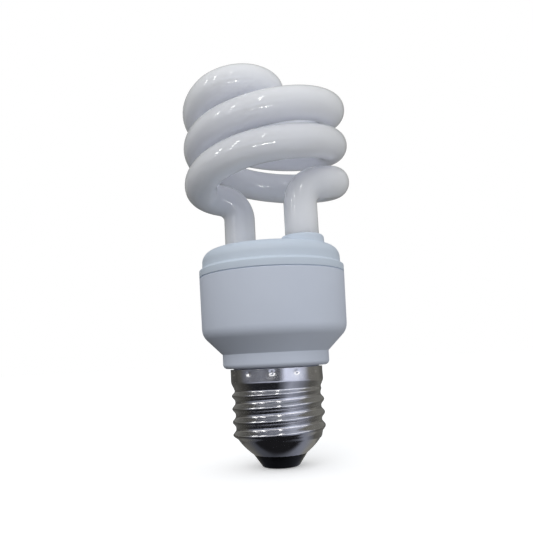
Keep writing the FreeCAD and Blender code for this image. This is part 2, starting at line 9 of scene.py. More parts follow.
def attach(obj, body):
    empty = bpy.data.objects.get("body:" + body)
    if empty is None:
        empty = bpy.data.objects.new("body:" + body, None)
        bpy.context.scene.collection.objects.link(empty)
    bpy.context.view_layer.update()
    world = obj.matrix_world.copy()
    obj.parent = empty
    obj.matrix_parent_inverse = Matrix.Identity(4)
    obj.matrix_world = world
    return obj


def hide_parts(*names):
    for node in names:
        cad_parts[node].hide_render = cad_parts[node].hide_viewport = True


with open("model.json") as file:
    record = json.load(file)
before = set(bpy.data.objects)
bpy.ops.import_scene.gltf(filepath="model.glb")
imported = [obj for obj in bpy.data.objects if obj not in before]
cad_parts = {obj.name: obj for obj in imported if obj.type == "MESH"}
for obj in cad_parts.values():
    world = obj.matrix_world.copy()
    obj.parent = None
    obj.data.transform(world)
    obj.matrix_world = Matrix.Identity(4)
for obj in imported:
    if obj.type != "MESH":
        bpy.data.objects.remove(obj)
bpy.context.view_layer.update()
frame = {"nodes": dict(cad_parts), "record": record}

# Centre contact
# A brass button under the cap that touches the lampholder's spring, wiped over with solder.
# Its stem goes up through the black insulator and carries the line wire.
MM = 0.001


def add(tree, kind, inputs=None, **settings):
    """A node with its settings, and a value or a link on each of the given inputs."""
    made = tree.nodes.new(kind)
    for key, value in settings.items():
        setattr(made, key, value)
    for key, value in (inputs or {}).items():
        if isinstance(value, bpy.types.NodeSocket):
            tree.links.new(value, made.inputs[key])
        else:
            made.inputs[key].default_value = value
    return made


def finish(name, **sockets):
    """A material with one Principled shader, and its plain values set on the shader's own sockets."""
    made = bpy.data.materials.new(name)
    made.use_nodes = True
    shader = made.node_tree.nodes["Principled BSDF"]
    for key, value in sockets.items():
        shader.inputs[key.replace("_", " ").title().replace("Ior", "IOR")].default_value = value
    return made, made.node_tree, shader


def drift(tree, size, low, high, stretch=(1, 1, 1), detail=3.0):
    """A value that wanders between low and high over the surface, in patches of about size millimetres."""
    spot = add(tree, "ShaderNodeTexCoord").outputs["Object"]
    spot = add(tree, "ShaderNodeMapping", {"Vector": spot, "Scale": stretch}).outputs[0]
    noise = add(tree, "ShaderNodeTexNoise", {"Vector": spot, "Scale": 1 / (size * MM), "Detail": detail})
    return add(tree, "ShaderNodeMapRange", {"Value": noise.outputs[0], "From Min": 0.3, "From Max": 0.7,
                                            "To Min": low, "To Max": high}).outputs[0]


def between(tree, share, first, second):
    """A colour between two colours."""
    return add(tree, "ShaderNodeMix", {0: share, 6: (*first, 1), 7: (*second, 1)},
               data_type="RGBA").outputs[2]


def rough_up(tree, shader, height, depth):
    """Gives a shader the relief of a height field that is depth millimetres deep."""
    relief = add(tree, "ShaderNodeBump", {"Height": height, "Distance": depth * MM, "Strength": 1.0})
    tree.links.new(relief.outputs[0], shader.inputs["Normal"])


def eased_line(corners, closed):
    """The points of a profile of (radius, height, rounding), with each corner rounded."""
    points = []
    for i, (radius, height, ease) in enumerate(corners):
        here = Vector((radius, height))
        if ease == 0:
            points.append(here)
            continue
        back = (Vector(corners[i - 1][:2]) - here).normalized()
        ahead = (Vector(corners[(i + 1) % len(corners)][:2]) - here).normalized()
        half = back.angle(ahead) / 2
        centre = here + (back + ahead).normalized() * (ease / math.sin(half))
        first = here + back * (ease / math.tan(half)) - centre
        last = here + ahead * (ease / math.tan(half)) - centre
        sweep = first.angle(last)
        steps = max(3, round(sweep / 0.16))
        for k in range(steps + 1):
            t = k / steps
            points.append(centre + (first * math.sin((1 - t) * sweep) + last * math.sin(t * sweep))
                          / math.sin(sweep))
    if closed:
        points.append(points[0])
    return points


def cleaned(shape, mesh):
    """Writes a shape into a mesh, with its doubles merged, its slivers gone and its faces outwards."""
    bmesh.ops.remove_doubles(shape, verts=shape.verts, dist=0.002 * MM)
    bmesh.ops.dissolve_degenerate(shape, edges=shape.edges, dist=0.001 * MM)
    bmesh.ops.recalc_face_normals(shape, faces=shape.faces)
    shape.to_mesh(mesh)
    shape.free()
    mesh.shade_smooth()
    mesh.set_sharp_from_angle(angle=math.radians(32))


def turned(name, corners, closed=True, centre=(0, 0), around=160):
    """A mesh turned round an upright axis from a profile in millimetres."""
    line = eased_line(corners, closed)
    shape = bmesh.new()
    rings = []
    for j in range(around):
        angle = 2 * math.pi * j / around
        rings.append([shape.verts.new(((centre[0] + p.x * math.cos(angle)) * MM,
                                       (centre[1] + p.x * math.sin(angle)) * MM, p.y * MM)) for p in line])
    for j in range(around):
        here, there = rings[j], rings[(j + 1) % around]
        for i in range(len(line) - 1):
            shape.faces.new((here[i], there[i], there[i + 1], here[i + 1]))
    mesh = bpy.data.meshes.new(name)
    cleaned(shape, mesh)
    made = bpy.data.objects.new(name, mesh)
    bpy.context.collection.objects.link(made)
    return made


brass, tree, shader = finish("solder_wiped_brass", metallic=1.0)
tree.links.new(between(tree, drift(tree, 1.8, 0.0, 1.0), (0.62, 0.5, 0.28), (0.66, 0.65, 0.62)),
               shader.inputs["Base Color"])
tree.links.new(drift(tree, 0.7, 0.22, 0.5), shader.inputs["Roughness"])
rough_up(tree, shader, drift(tree, 1.1, 0.0, 1.0), 0.08)
contact = turned("contact_button", [
    (0, 0, 0), (2.5, 0, 0.8), (3.4, 0.16, 0.2), (3.6, 0.42, 0.12), (3.6, 0.6, 0.05), (1, 0.6, 0.1),
    (1, 5.0, 0.15), (0, 5.0, 0)], closed=False, around=72)
contact.data.materials.append(brass)
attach(contact, "root")
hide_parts("centre_contact")

# Cap insulator
# A black glass cone, fused into the narrow end of the shell to keep the contact off it.
# It is glossy, with the faint swirl of poured glass.
black, tree, shader = finish("black_glass", roughness=0.12, ior=1.52, specular_ior_level=0.25)
tree.links.new(between(tree, drift(tree, 2.5, 0.0, 1.0), (0.004, 0.004, 0.005), (0.011, 0.011, 0.013)),
               shader.inputs["Base Color"])
tree.links.new(drift(tree, 1.2, 0.08, 0.22), shader.inputs["Roughness"])
rough_up(tree, shader, drift(tree, 2.0, 0.0, 1.0), 0.03)
insulator = turned("cap_cone", [
    (3.65, 0.15, 0.05), (5.1, 0.15, 0.9), (7.6, 3.7, 0.06), (7.35, 3.94, 0.05), (10.55, 7.34, 0.3),
    (1.05, 7.34, 0.2), (1.05, 0.6, 0.05), (3.65, 0.6, 0.05)], around=128)
insulator.data.materials.append(black)
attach(insulator, "root")
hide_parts("cap_insulator")

# Screw shell
# Thin sheet drawn to a cup, with the right-hand screw rolled into it and bright nickel plate over all.
# Round its top edge it is punched with small dents that hold it to the housing's neck.
nickel, tree, shader = finish("bright_nickel", metallic=1.0)
tree.links.new(between(tree, drift(tree, 3.0, 0.0, 1.0), (0.66, 0.65, 0.66), (0.78, 0.77, 0.76)),
               shader.inputs["Base Color"])
tree.links.new(drift(tree, 0.9, 0.13, 0.2, (1, 1, 3)), shader.inputs["Roughness"])
rough_up(tree, shader, drift(tree, 0.5, 0.0, 1.0, (1, 1, 6)), 0.0012)

shell_tree = bpy.data.node_groups.new("rolled_shell", "GeometryNodeTree")
shell_tree.interface.new_socket(name="Geometry", in_out="OUTPUT", socket_type="NodeSocketGeometry")
SHELL = {
    "Rim radius": 7.6, "Root radius": 12.25, "Skirt radius": 13.25, "Rim height": 3.7, "Top height": 27.4,
    "Bowl top": 9.4, "Bowl fullness": 1.55, "Shoulder start": 21.1, "Shoulder end": 24.1,
    "Thread fades in from": 7.3, "Thread fades in to": 9.0, "Thread fades out from": 20.1,
    "Thread fades out to": 22.1, "Thread depth": 0.92, "Crest sharpness": 1.4, "Pitch": 3.629,
    "Rows per turn": 29, "Crest height": 9.1, "Crest bearing": math.radians(222.0), "Dents": 12,
    "Dent depth": 0.2, "Dent width": 0.48, "Hollow depth": 0.09, "Hollow width": 1.7,
    "Dent height": 26.35, "Dent bearing": math.radians(7.0), "Waviness": 0.05}
SHEET_COLUMNS = 216
SHEET_ROWS = 219
size_of = {}
for label, value in SHELL.items():
    size_of[label] = shell_tree.interface.new_socket(
        name=label, in_out="INPUT", socket_type="NodeSocketFloat").identifier
size_of["Finish"] = shell_tree.interface.new_socket(
    name="Finish", in_out="INPUT", socket_type="NodeSocketMaterial").identifier
given = add(shell_tree, "NodeGroupInput").outputs


def calc(operation, *values):
    """A math node of the shell's tree, fed by sockets, numbers or the names of its sizes."""
    values = [given[v] if isinstance(v, str) else v for v in values]
    return add(shell_tree, "ShaderNodeMath", dict(enumerate(values)), operation=operation).outputs[0]


def fade(tree, value, start, end):
    """Rises smoothly from 0 to 1 as a value goes from start to end."""
    return add(tree, "ShaderNodeMapRange", {"Value": value, "From Min": start, "From Max": end},
               interpolation_type="SMOOTHSTEP").outputs[0]


def ramp(value, start, end):
    """Rises smoothly from 0 to 1 between two of the shell's sizes."""
    return fade(shell_tree, value, given[start], given[end])


sheet = add(shell_tree, "GeometryNodeMeshGrid", {
    "Size X": 1.0, "Size Y": 1.0, "Vertices X": SHEET_COLUMNS + 1, "Vertices Y": SHEET_ROWS + 1})
place = add(shell_tree, "GeometryNodeInputPosition").outputs[0]
across = add(shell_tree, "ShaderNodeSeparateXYZ", {0: place})
bearing = calc("MULTIPLY", calc("ADD", across.outputs[0], 0.5), 2 * math.pi)
row = calc("ADD", calc("MULTIPLY", calc("ADD", across.outputs[1], 0.5), float(SHEET_ROWS)),
           calc("MULTIPLY", calc("DIVIDE", bearing, 2 * math.pi), "Rows per turn"))
height = calc("ADD", calc("MULTIPLY", calc("SUBTRACT", calc("DIVIDE", row, "Rows per turn"), 1.0), "Pitch"),
              "Rim height")
height = calc("MINIMUM", calc("MAXIMUM", height, "Rim height"), "Top height")
up_bowl = calc("DIVIDE", calc("SUBTRACT", height, "Rim height"), calc("SUBTRACT", "Bowl top", "Rim height"))
left_over = calc("POWER", calc("MAXIMUM", calc("SUBTRACT", 1.0, up_bowl), 0.0), "Bowl fullness")
cup = calc("SUBTRACT", "Root radius",
           calc("MULTIPLY", left_over, calc("SUBTRACT", "Root radius", "Rim radius")))
shoulder = calc("MULTIPLY", ramp(height, "Shoulder start", "Shoulder end"),
                calc("SUBTRACT", "Skirt radius", "Root radius"))
climb = calc("MULTIPLY", calc("DIVIDE", calc("SUBTRACT", height, "Crest height"), "Pitch"), 2 * math.pi)
wave = calc("COSINE", calc("SUBTRACT", climb, calc("SUBTRACT", bearing, "Crest bearing")))
ridge = calc("POWER", calc("ADD", calc("MULTIPLY", wave, 0.5), 0.5), "Crest sharpness")
ridge = calc("MULTIPLY", ridge, "Thread depth")
ridge = calc("MULTIPLY", ridge, ramp(height, "Thread fades in from", "Thread fades in to"))
ridge = calc("MULTIPLY", ridge, calc("SUBTRACT", 1.0,
                                     ramp(height, "Thread fades out from", "Thread fades out to")))
step = calc("DIVIDE", 2 * math.pi, "Dents")
aside = calc("FLOORED_MODULO", calc("ADD", calc("SUBTRACT", bearing, "Dent bearing"),
                                    calc("MULTIPLY", step, 0.5)), step)
aside = calc("MULTIPLY", calc("SUBTRACT", aside, calc("MULTIPLY", step, 0.5)), "Skirt radius")
above = calc("SUBTRACT", height, "Dent height")
far = calc("ADD", calc("MULTIPLY", aside, aside), calc("MULTIPLY", above, above))


def bell(deep, wide):
    """A round hollow at each dent, from the names of its depth and width."""
    fall = calc("DIVIDE", calc("MULTIPLY", far, -1.0), calc("MULTIPLY", wide, wide))
    return calc("MULTIPLY", deep, calc("EXPONENT", fall))


dent = calc("ADD", bell("Dent depth", "Dent width"), bell("Hollow depth", "Hollow width"))
around_it = add(shell_tree, "ShaderNodeCombineXYZ", {
    0: calc("COSINE", bearing), 1: calc("SINE", bearing), 2: calc("MULTIPLY", height, 0.08)})
wobble = add(shell_tree, "ShaderNodeTexNoise", {
    "Vector": around_it.outputs[0], "Scale": 2.2, "Detail": 1.0})
wobble = calc("MULTIPLY", calc("SUBTRACT", wobble.outputs[0], 0.5), "Waviness")
radius = calc("ADD", calc("ADD", cup, shoulder), calc("SUBTRACT", calc("ADD", ridge, wobble), dent))
spot = add(shell_tree, "ShaderNodeCombineXYZ", {
    0: calc("MULTIPLY", calc("MULTIPLY", radius, calc("COSINE", bearing)), MM),
    1: calc("MULTIPLY", calc("MULTIPLY", radius, calc("SINE", bearing)), MM),
    2: calc("MULTIPLY", height, MM)})
bent = add(shell_tree, "GeometryNodeSetPosition", {
    "Geometry": sheet.outputs[0], "Position": spot.outputs[0]})
joined = add(shell_tree, "GeometryNodeMergeByDistance", {
    "Geometry": bent.outputs[0], "Distance": 0.001 * MM})
smooth = add(shell_tree, "GeometryNodeSetShadeSmooth", {"Geometry": joined.outputs[0]})
real = add(shell_tree, "GeometryNodeRealizeInstances", {"Geometry": smooth.outputs[0]})
plated = add(shell_tree, "GeometryNodeSetMaterial", {
    "Geometry": real.outputs[0], "Material": given["Finish"]})
add(shell_tree, "NodeGroupOutput", {"Geometry": plated.outputs[0]})


def settled(name, maker):
    """The plain mesh that an object's modifiers give, as an object of its own; the maker is removed."""
    bpy.context.view_layer.update()
    grown = maker.evaluated_get(bpy.context.evaluated_depsgraph_get())
    mesh = bpy.data.meshes.new_from_object(grown)
    bpy.data.objects.remove(maker)
    mesh.name = name
    made = bpy.data.objects.new(name, mesh)
    bpy.context.collection.objects.link(made)
    return made


blank = bpy.data.objects.new("shell_blank", bpy.data.meshes.new("shell_blank"))
bpy.context.collection.objects.link(blank)
rolling = blank.modifiers.new("rolling", "NODES")
rolling.node_group = shell_tree
for label, value in SHELL.items():
    rolling[size_of[label]] = float(value)
rolling[size_of["Finish"]] = nickel
wall = blank.modifiers.new("wall", "SOLIDIFY")
wall.thickness = 0.3 * MM
wall.offset = -1
shell = settled("screw_cup", blank)
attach(shell, "root")
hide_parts("screw_shell")

# Ballast housing
# A cup of cool white moulded plastic, satin from its spark-eroded mould. Its neck goes down into the
# shell, a collar covers the shell's edge, and the cover snaps on top.
def moulded(name, first, second, rough_low, rough_high):
    """Satin moulded plastic with a fine mould grain."""
    made, tree, shader = finish(name, ior=1.49)
    tree.links.new(between(tree, drift(tree, 14.0, 0.0, 1.0), first, second), shader.inputs["Base Color"])
    tree.links.new(drift(tree, 2.2, rough_low, rough_high), shader.inputs["Roughness"])
    rough_up(tree, shader, drift(tree, 0.16, 0.0, 1.0, detail=1.0), 0.003)
    return made


housing_white = moulded("housing_white", (0.66, 0.712, 0.82), (0.69, 0.742, 0.85), 0.36, 0.46)
housing = turned("ballast_cup", [
    (11.65, 23.1, 0.1), (12.85, 23.1, 0.2), (12.85, 26.3, 0.1), (12.3, 26.6, 0.1),
    (12.3, 27.7, 0.05), (15.3, 27.7, 1.3), (15.3, 31.7, 0.25),
    (20.95, 37.35, 4.6), (21.25, 53.8, 0.15), (20.9, 54, 0.04), (19.6, 54, 0.05), (19.6, 51.9, 0.05),
    (20.05, 51.2, 0.1), (19.6, 50.5, 0.05), (19.6, 45.1, 0.1), (18.3, 45.1, 0.1), (18.3, 36.6, 1.0),
    (11.65, 29.95, 0.3)], around=192)
housing.data.materials.append(housing_white)
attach(housing, "root")
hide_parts("ballast_housing")

# Ballast inside the housing
# The board and its parts can't be seen from outside, so the CAD solids stay, each with its own finish.
# Laminate, ferrite, enamelled wire, resin and lacquer differ in grain as much as in colour.
def plain_finish(name, first, second, size, rough, depth, metallic=0.0):
    """A finish of two mingled colours with a grain of one size."""
    made, tree, shader = finish(name, metallic=metallic)
    share = drift(tree, size, 0.0, 1.0)
    tree.links.new(between(tree, share, first, second), shader.inputs["Base Color"])
    tree.links.new(drift(tree, size * 2, rough - 0.08, rough + 0.08), shader.inputs["Roughness"])
    rough_up(tree, shader, share, depth)
    return made


def wound(name, first, second, wire):
    """Enamelled wire laid in turns of one thickness."""
    made, tree, shader = finish(name, metallic=0.6, roughness=0.3)
    spot = add(tree, "ShaderNodeTexCoord").outputs["Object"]
    turns = add(tree, "ShaderNodeTexWave", {
        "Vector": spot, "Scale": 1 / (wire * MM) / 20, "Distortion": 0.6}, bands_direction="Z").outputs[0]
    tree.links.new(between(tree, turns, first, second), shader.inputs["Base Color"])
    rough_up(tree, shader, turns, wire / 2)
    return made


INSIDE = {
    "board_laminate": plain_finish(
        "brown_laminate", (0.36, 0.25, 0.11), (0.47, 0.35, 0.18), 0.8, 0.5, 0.02),
    "ferrite": plain_finish("dark_ferrite", (0.035, 0.035, 0.04), (0.07, 0.07, 0.075), 0.4, 0.6, 0.03),
    "winding_copper": wound("enamelled_wire", (0.24, 0.09, 0.03), (0.55, 0.25, 0.1), 0.25),
    "can_sleeve": plain_finish(
        "shrunk_sleeve", (0.02, 0.02, 0.026), (0.035, 0.035, 0.045), 3.0, 0.28, 0.02),
    "film_case": plain_finish("dipped_resin", (0.36, 0.05, 0.03), (0.48, 0.1, 0.05), 2.0, 0.25, 0.05),
    "black_epoxy": plain_finish(
        "black_epoxy", (0.013, 0.013, 0.014), (0.026, 0.026, 0.027), 0.5, 0.55, 0.02),
    "resistor_body": plain_finish("beige_lacquer", (0.45, 0.33, 0.18), (0.55, 0.43, 0.26), 1.0, 0.3, 0.02),
    "diac_glass": plain_finish("blue_lacquer", (0.05, 0.14, 0.34), (0.09, 0.22, 0.46), 0.8, 0.2, 0.01),
    "tinned_metal": plain_finish("tinned_wire", (0.6, 0.6, 0.6), (0.75, 0.75, 0.74), 0.6, 0.32, 0.01, 1.0),
    "cement": plain_finish("dull_cement", (0.72, 0.72, 0.72), (0.86, 0.86, 0.87), 0.7, 0.85, 0.08),
    "wire_cover": plain_finish("wire_cover", (0.68, 0.68, 0.65), (0.76, 0.76, 0.73), 1.5, 0.45, 0.01)}
for part in frame["record"]["subparts"]:
    if part["material_slot"] in INSIDE:
        node = frame["nodes"][part["node"]]
        node.data.materials.clear()
        node.data.materials.append(INSIDE[part["material_slot"]])

# Tube cover
# The lid of the housing, moulded in the same white: a rim that shows below a small ledge, a rounded top,
# and a raised collar round each leg of the tube. A skirt inside snaps into the housing.
cover_white = moulded("cover_white", (0.64, 0.72, 0.82), (0.67, 0.75, 0.85), 0.34, 0.44)
lid = turned("tube_lid", [
    (18.3, 46.7, 0.1), (19.5, 46.7, 0.2), (19.5, 50.6, 0.05), (19.85, 51.2, 0.1), (19.5, 51.8, 0.05),
    (19.5, 54, 0.05), (20.9, 54, 0.04), (21.25, 54.2, 0.12), (21.25, 56.1, 0.35), (20.3, 56.7, 0.5),
    (20.3, 61.85, 3.4), (0, 61.85, 0), (0, 60.35, 0), (18.3, 60.35, 0.8)], around=192)
LEG_OFFSET = 12.5
for side in (1, -1):
    collar = turned("leg_collar", [
        (4.4, 60.7, 0), (6.35, 60.7, 0), (6.15, 62, 0.4), (6.02, 63.95, 0.95), (4.4, 63.95, 0)],
        centre=(side * LEG_OFFSET, 0), around=96)
    bore = turned("leg_bore", [
        (0, 59.1, 0), (5.05, 59.1, 0), (5.05, 65.6, 0), (0, 65.6, 0)], closed=False,
        centre=(side * LEG_OFFSET, 0), around=96)
    for tool, way in ((collar, "UNION"), (bore, "DIFFERENCE")):
        joint = lid.modifiers.new("joint", "BOOLEAN")
        joint.object = tool
        joint.operation = way
        joint.solver = "EXACT"
        lid = settled("tube_lid", lid)
        bpy.data.objects.remove(tool)
shape = bmesh.new()
shape.from_mesh(lid.data)
cleaned(shape, lid.data)
lid.data.materials.clear()
lid.data.materials.append(cover_white)
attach(lid, "root")
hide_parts("tube_cover")

# Discharge tube
# One glass tube, bent hot into a double spiral: up from one leg, round and over the crown, and down to the
# other. White phosphor inside makes it opaque under the clear gloss. Its legs are cemented into the lid,
# and the bending left two turns a little closer at the front.
TUBE_RADIUS = 4.795
COIL_RADIUS = 19.9
COIL_PITCH = 22.4
COIL_BASE = 78.85
COIL_START = 42.2
COIL_END = 442.5
LEG_FOOT = 56.2
BEND_HEIGHT = 73.42
CROWN_RISE = 2.5
CROWN_TURN = 98.2
SQUEEZE = 0.34
SQUEEZED_AT = 297
SQUEEZED_OVER = 35
BEND_STEPS = 24
COIL_STEPS = 180


def on_coil(degrees):
    """The point and direction of the spiral at an angle from its leg."""
    a = math.radians(degrees)
    point = Vector((COIL_RADIUS * math.cos(a), COIL_RADIUS * math.sin(a),
                    COIL_BASE + COIL_PITCH * degrees / 360))
    way = Vector((-COIL_RADIUS * math.sin(a), COIL_RADIUS * math.cos(a), COIL_PITCH / (2 * math.pi)))
    return point, way.normalized()


def arc(start, way, end, steps):
    """Points along the arc that leaves start in one direction and goes to end, without its first point."""
    chord = end - start
    side = (chord - way * chord.dot(way)).normalized()
    bend = chord.length_squared / (2 * chord.dot(side))
    sweep = 2 * math.atan2(chord.dot(side), chord.dot(way))
    return [start + way * (bend * math.sin(sweep * k / steps))
            + side * (bend * (1 - math.cos(sweep * k / steps))) for k in range(1, steps + 1)]


def two_arcs(start, leave, end, arrive, steps):
    """Points along the two arcs that join two points and their directions, without the first point."""
    chord = end - start
    spread = 1 - leave.dot(arrive)
    along = chord.dot(leave + arrive)
    reach = (math.sqrt(along ** 2 + 2 * spread * chord.length_squared) - along) / (2 * spread)
    middle = (start + end + (leave - arrive) * reach) / 2
    second = arc(end, -arrive, middle, steps)
    return arc(start, leave, middle, steps) + second[-2::-1] + [end]


up = Vector((0, 0, 1))


def half_line(lift, place):
    """Points from a leg's foot to the crown, along a spiral that is lifted a little round one angle."""
    knee = Vector((LEG_OFFSET, 0, BEND_HEIGHT))
    coil_start, start_way = on_coil(COIL_START)
    coil_end, end_way = on_coil(COIL_END)
    crown = Vector((0, 0, coil_end.z + CROWN_RISE))
    crown_bearing = math.radians(COIL_END - CROWN_TURN)
    crown_way = Vector((math.cos(crown_bearing), math.sin(crown_bearing), 0))
    points = [Vector((LEG_OFFSET, 0, LEG_FOOT)), knee]
    points += two_arcs(knee, up, coil_start, start_way, BEND_STEPS)
    for k in range(1, COIL_STEPS + 1):
        degrees = COIL_START + (COIL_END - COIL_START) * k / COIL_STEPS
        lifted = up * (lift * math.exp(-((degrees - place) / SQUEEZED_OVER) ** 2))
        points.append(on_coil(degrees)[0] + lifted)
    return points + two_arcs(coil_end, end_way, crown, crown_way, BEND_STEPS)


half_turn = Matrix.Rotation(math.pi, 3, "Z")
route = half_line(-SQUEEZE, SQUEEZED_AT)
route += [half_turn @ p for p in half_line(SQUEEZE, SQUEEZED_AT - 180)[-2::-1]]

tube_tree = bpy.data.node_groups.new("bent_tube", "GeometryNodeTree")
tube_tree.interface.new_socket(name="Geometry", in_out="INPUT", socket_type="NodeSocketGeometry")
tube_tree.interface.new_socket(name="Geometry", in_out="OUTPUT", socket_type="NodeSocketGeometry")
TUBE = {"Tube radius": ("NodeSocketFloat", TUBE_RADIUS * MM), "Rings": ("NodeSocketInt", 720),
        "Sides": ("NodeSocketInt", 56), "Finish": ("NodeSocketMaterial", None)}
tube_key = {label: tube_tree.interface.new_socket(name=label, in_out="INPUT", socket_type=kind).identifier
            for label, (kind, value) in TUBE.items()}
given_tube = add(tube_tree, "NodeGroupInput").outputs
even = add(tube_tree, "GeometryNodeResampleCurve", {"Curve": given_tube["Geometry"],
                                                    "Count": given_tube["Rings"]})
along = add(tube_tree, "GeometryNodeSplineParameter").outputs["Length"]
marked = add(tube_tree, "GeometryNodeStoreNamedAttribute",
             {"Geometry": even.outputs[0], "Name": "along", "Value": along}, domain="POINT")
ring = add(tube_tree, "GeometryNodeCurvePrimitiveCircle", {"Resolution": given_tube["Sides"],
                                                           "Radius": given_tube["Tube radius"]})
drawn = add(tube_tree, "GeometryNodeCurveToMesh", {"Curve": marked.outputs[0],
                                                   "Profile Curve": ring.outputs[0], "Fill Caps": True})
glossy = add(tube_tree, "GeometryNodeSetShadeSmooth", {"Geometry": drawn.outputs[0]})
solid = add(tube_tree, "GeometryNodeRealizeInstances", {"Geometry": glossy.outputs[0]})
coated = add(tube_tree, "GeometryNodeSetMaterial", {"Geometry": solid.outputs[0],
                                                    "Material": given_tube["Finish"]})
add(tube_tree, "NodeGroupOutput", {"Geometry": coated.outputs[0]})

glass, tree, shader = finish("phosphor_glass", ior=1.5, coat_weight=1.0, coat_roughness=0.1, coat_ior=1.56,
                             specular_ior_level=0.2, subsurface_weight=1.0, subsurface_scale=20 * MM,
                             subsurface_radius=(1.0, 1.0, 1.0))
tree.links.new(between(tree, drift(tree, 9.0, 0.0, 1.0), (0.83, 0.85, 0.955), (0.85, 0.87, 0.975)),
               shader.inputs["Base Color"])
tree.links.new(drift(tree, 3.0, 0.42, 0.55), shader.inputs["Roughness"])

line = bpy.data.curves.new("tube_line", "CURVE")
line.dimensions = "3D"
spline = line.splines.new("POLY")
spline.points.add(len(route) - 1)
for point, here in zip(spline.points, route):
    point.co = (*(here * MM), 1)
bender = bpy.data.objects.new("tube_line", line)
bpy.context.collection.objects.link(bender)
bending = bender.modifiers.new("bending", "NODES")
bending.node_group = tube_tree
for label, (kind, value) in TUBE.items():
    bending[tube_key[label]] = glass if label == "Finish" else value
tube = settled("spiral_tube", bender)
tube.data.set_sharp_from_angle(angle=math.radians(60))
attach(tube, "root")
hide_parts("discharge_tube")

# Camera
# It stands a little below the middle of the lamp and looks slightly up, as the photograph does.
FRAME_SIZE = 533
FOCAL_PIXELS = 596.8
VIEW_BEARING = math.radians(42.6)
PITCH = math.radians(8.89)
ROLL = math.radians(-2.87)
YAW = math.atan2(-4.78, FOCAL_PIXELS)
EYE = Vector((0, -0.1747, 0.02974))
level = Vector((math.sin(YAW), math.cos(YAW), 0))
aside = Vector((math.cos(YAW), -math.sin(YAW), 0))
ahead = level * math.cos(PITCH) + up * math.sin(PITCH)
over = up * math.cos(PITCH) - level * math.sin(PITCH)
right = aside * math.cos(ROLL) + over * math.sin(ROLL)
top = over * math.cos(ROLL) - aside * math.sin(ROLL)
facing = Matrix.Rotation(VIEW_BEARING, 3, "Z")
camera = bpy.data.objects.new("camera", bpy.data.cameras.new("camera"))
camera.data.sensor_width = 36
camera.data.lens = 36 * FOCAL_PIXELS / FRAME_SIZE
camera.data.clip_start = 0.01
turn = (facing @ Matrix((right, top, -ahead)).transposed()).to_4x4()
camera.matrix_world = Matrix.Translation(facing @ EYE) @ turn
bpy.context.collection.objects.link(camera)
bpy.context.scene.camera = camera

# Floor
# A plain pale floor. The camera and reflections see it white; as a source of light it is dim on the left
# and brighter on the right, so the underside of the housing stays in shade.
def across_view(tree):
    """The place on a studio piece, right of the camera's line, beyond the bulb and up."""
    spot = add(tree, "ShaderNodeTexCoord").outputs["Object"]
    return add(tree, "ShaderNodeMapping", {"Vector": spot, "Rotation": (0, 0, -VIEW_BEARING)}).outputs[0]


def looked_at(tree):
    """1 for what is seen straight, in a mirror or through glass, 0 for light that falls on a surface."""
    path = add(tree, "ShaderNodeLightPath").outputs
    seen = add(tree, "ShaderNodeMath", {0: path["Is Camera Ray"], 1: path["Is Glossy Ray"]},
               operation="MAXIMUM").outputs[0]
    return add(tree, "ShaderNodeMath", {0: seen, 1: path["Is Transmission Ray"]},
               operation="MAXIMUM").outputs[0]


seen = bpy.data.materials.new("pale_floor")
seen.use_nodes = True
tree = seen.node_tree
tree.nodes.clear()
looked = looked_at(tree)
spot = add(tree, "ShaderNodeSeparateXYZ", {0: across_view(tree)}).outputs[0]
lit = add(tree, "ShaderNodeMapRange", {"Value": spot, "From Min": -0.05, "From Max": 0.1, "To Min": 0.0,
                                       "To Max": 0.5}).outputs[0]
dim = add(tree, "ShaderNodeBsdfDiffuse", {"Color": lit})
pale = add(tree, "ShaderNodeBsdfDiffuse", {"Color": (0.9, 0.9, 0.9, 1)})
lift = add(tree, "ShaderNodeEmission", {"Strength": 0.3})
pale = add(tree, "ShaderNodeAddShader", {0: pale.outputs[0], 1: lift.outputs[0]})
either = add(tree, "ShaderNodeMixShader", {0: looked, 1: dim.outputs[0], 2: pale.outputs[0]})
add(tree, "ShaderNodeOutputMaterial", {"Surface": either.outputs[0]})
bpy.ops.mesh.primitive_plane_add(size=8)
floor = bpy.context.object
floor.name = "floor"
floor.data.materials.append(seen)

# Studio room and lamps
# What the surfaces mirror, and only reflections see: a grey room with a bright window to the right of the
# camera, and a mat with a lit ring and a dark pool, a painted shadow of the lamp on the table just in front
# of its foot. Ceiling lamps show in all but the plating, a door slit and low lamps only in the glass, and
# softer lamps and a row of low panes only in the plating.
def glowing(name, strength):
    """A material that only gives light, with its node tree and its emission node."""
    made = bpy.data.materials.new(name)
    made.use_nodes = True
    made.node_tree.nodes.clear()
    light = add(made.node_tree, "ShaderNodeEmission", {"Strength": strength})
    add(made.node_tree, "ShaderNodeOutputMaterial", {"Surface": light.outputs[0]})
    return made, made.node_tree, light


def mirrored(piece, paint):
    """Makes an object a piece of the studio that only reflections see."""
    piece.data.materials.append(paint)
    piece.visible_camera = False
    piece.visible_diffuse = False
    piece.visible_transmission = False
    piece.visible_shadow = False


FRONT_HALF = 80
COOL_TINT = (0.9, 0.96, 1.18)
WARM_TINT = (1.0, 0.98, 0.9)
BACK_TINT = (1.0, 1.0, 0.94)


